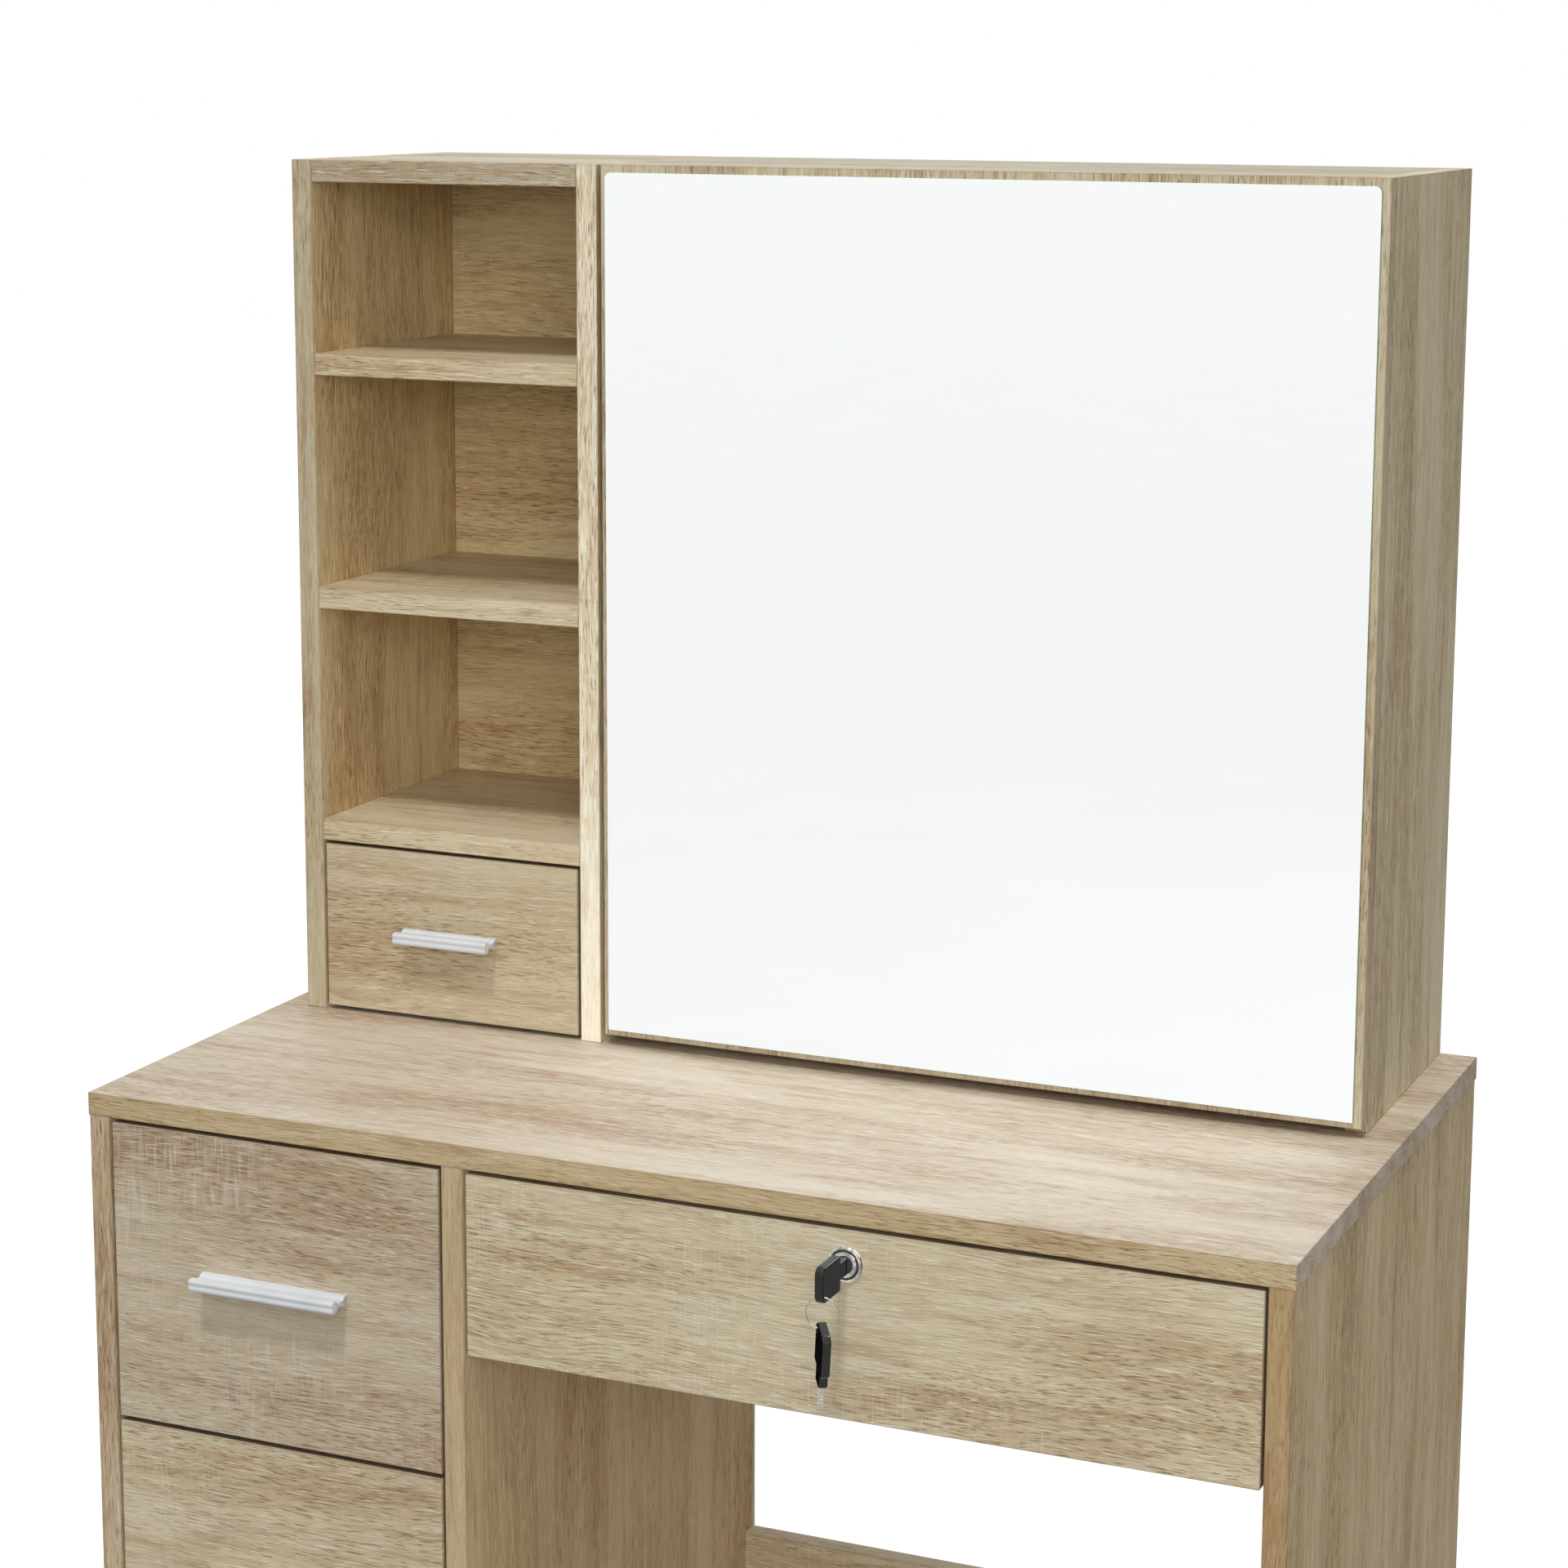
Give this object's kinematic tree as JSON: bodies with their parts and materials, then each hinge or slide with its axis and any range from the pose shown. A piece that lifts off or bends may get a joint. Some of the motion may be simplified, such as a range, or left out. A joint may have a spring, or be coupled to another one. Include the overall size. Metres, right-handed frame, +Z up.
{
  "type": "vanity table with mirror",
  "caption": "Light oak vanity desk with a drawer pedestal, a wide locking drawer, and a low top cabinet with open shelves, a small drawer and a hinged mirror door.",
  "frame": {"origin": "middle of the outer box, hanging keys included, on the floor", "axes": "+Z up, +Y to the back, +X to the right as seen from the front"},
  "size_m": [0.8, 0.5009, 1.34],
  "materials": {
    "oak_board": "light oak decor melamine, fine grain relief, satin",
    "drawer_board": "plain pale melamine board of the drawer boxes, satin",
    "thin_board": "white-faced hardboard, satin",
    "white_metal": "white powder coat, semi-gloss",
    "handle_metal": "white lacquered aluminium, satin",
    "lock_chrome": "polished chrome plate",
    "lock_body": "zinc-plated case, satin",
    "key_plastic": "black moulded plastic, matt",
    "key_steel": "nickel-plated steel, satin",
    "mirror_glass": "silvered float glass",
    "hinge_steel": "nickel-plated steel, satin",
    "glide_plastic": "white moulded plastic, matt"
  },
  "bodies": {
    "carcass": {"desk_top": "oak_board", "desk_side_left": "oak_board", "desk_side_right": "oak_board", "desk_partition": "oak_board", "pedestal_bottom": "oak_board", "plinth": "oak_board", "pedestal_back_panel": "thin_board", "knee_rail": "oak_board", "upper_rail": "oak_board", "floor_glides": "glide_plastic", "pedestal_runners": "white_metal", "wide_runners": "white_metal", "hutch_side_left": "oak_board", "hutch_side_right": "oak_board", "hutch_partition": "oak_board", "shelf_column_top": "oak_board", "cabinet_top": "oak_board", "hutch_back_panel": "oak_board", "shelf_lower": "oak_board", "shelf_middle": "oak_board", "shelf_upper": "oak_board", "cabinet_shelves": "oak_board", "shelf_pins": "key_steel", "small_drawer_guides": "glide_plastic", "door_hinge_arms": "hinge_steel"},
    "pedestal_drawer_bottom": {"pedestal_drawer_bottom_front": "oak_board", "pedestal_drawer_bottom_box": "drawer_board", "pedestal_drawer_bottom_bottom_panel": "thin_board", "pedestal_drawer_bottom_runners": "white_metal", "pedestal_drawer_bottom_handle": "handle_metal"},
    "pedestal_drawer_middle": {"pedestal_drawer_middle_front": "oak_board", "pedestal_drawer_middle_box": "drawer_board", "pedestal_drawer_middle_bottom_panel": "thin_board", "pedestal_drawer_middle_runners": "white_metal", "pedestal_drawer_middle_handle": "handle_metal"},
    "pedestal_drawer_top": {"pedestal_drawer_top_front": "oak_board", "pedestal_drawer_top_box": "drawer_board", "pedestal_drawer_top_bottom_panel": "thin_board", "pedestal_drawer_top_runners": "white_metal", "pedestal_drawer_top_handle": "handle_metal"},
    "wide_drawer": {"wide_drawer_front": "oak_board", "wide_drawer_box": "drawer_board", "wide_drawer_bottom_panel": "thin_board", "wide_drawer_runners": "white_metal", "lock_case": "lock_body"},
    "small_drawer": {"small_drawer_front": "oak_board", "small_drawer_box": "drawer_board", "small_drawer_bottom_panel": "thin_board", "small_drawer_handle": "handle_metal"},
    "mirror_door": {"door_panel": "oak_board", "mirror_glass": "mirror_glass", "door_hinge_cups": "hinge_steel"},
    "lock_plug": {"lock_cylinder": "lock_chrome"},
    "bolt": {"lock_bolt": "lock_body"},
    "key": {"key_blade": "key_steel", "key_head": "key_plastic"},
    "ring": {"key_ring": "key_steel"},
    "spare_key": {"spare_key_head": "key_plastic", "spare_key_blade": "key_steel"}
  },
  "joints": [
    {"name": "pedestal_drawer_bottom_slide", "type": "slide", "parent": "carcass", "child": "pedestal_drawer_bottom", "axis": [0, -1, 0], "range_m": [0, 0.3]},
    {"name": "pedestal_drawer_middle_slide", "type": "slide", "parent": "carcass", "child": "pedestal_drawer_middle", "axis": [0, -1, 0], "range_m": [0, 0.3]},
    {"name": "pedestal_drawer_top_slide", "type": "slide", "parent": "carcass", "child": "pedestal_drawer_top", "axis": [0, -1, 0], "range_m": [0, 0.3]},
    {"name": "wide_drawer_slide", "type": "slide", "parent": "carcass", "child": "wide_drawer", "axis": [0, -1, 0], "range_m": [0, 0.3]},
    {"name": "small_drawer_slide", "type": "slide", "parent": "carcass", "child": "small_drawer", "axis": [0, -1, 0], "range_m": [0, 0.12]},
    {"name": "mirror_door_hinge", "type": "hinge", "parent": "carcass", "child": "mirror_door", "pos_m": [0.375, 0.038, 1.04825], "axis": [0, 0, 1], "range_deg": [0, 95]},
    {"name": "lock_turn", "type": "hinge", "parent": "wide_drawer", "child": "lock_plug", "pos_m": [0.129, -0.2, 0.7115], "axis": [0, -1, 0], "range_deg": [0, 90]},
    {"name": "bolt_lift", "type": "slide", "parent": "wide_drawer", "child": "bolt", "axis": [0, 0, 1], "range_m": [0, 0.008]},
    {"name": "key_pull", "type": "slide", "parent": "lock_plug", "child": "key", "axis": [0, -1, 0], "range_m": [0, 0.03]},
    {"name": "ring_swing", "type": "hinge", "parent": "key", "child": "ring", "pos_m": [0.129, -0.235, 0.7034], "axis": [-0.9659, -0.2588, 0], "range_deg": [-15, 60]},
    {"name": "spare_key_swing", "type": "hinge", "parent": "ring", "child": "spare_key", "pos_m": [0.129, -0.235, 0.6832], "axis": [-0.8387, -0.5446, 0], "range_deg": [-20, 30]}
  ],
  "couplings": [
    {"joint": "bolt_lift", "follows": "lock_turn", "m_per_rad": 0.005}
  ]
}
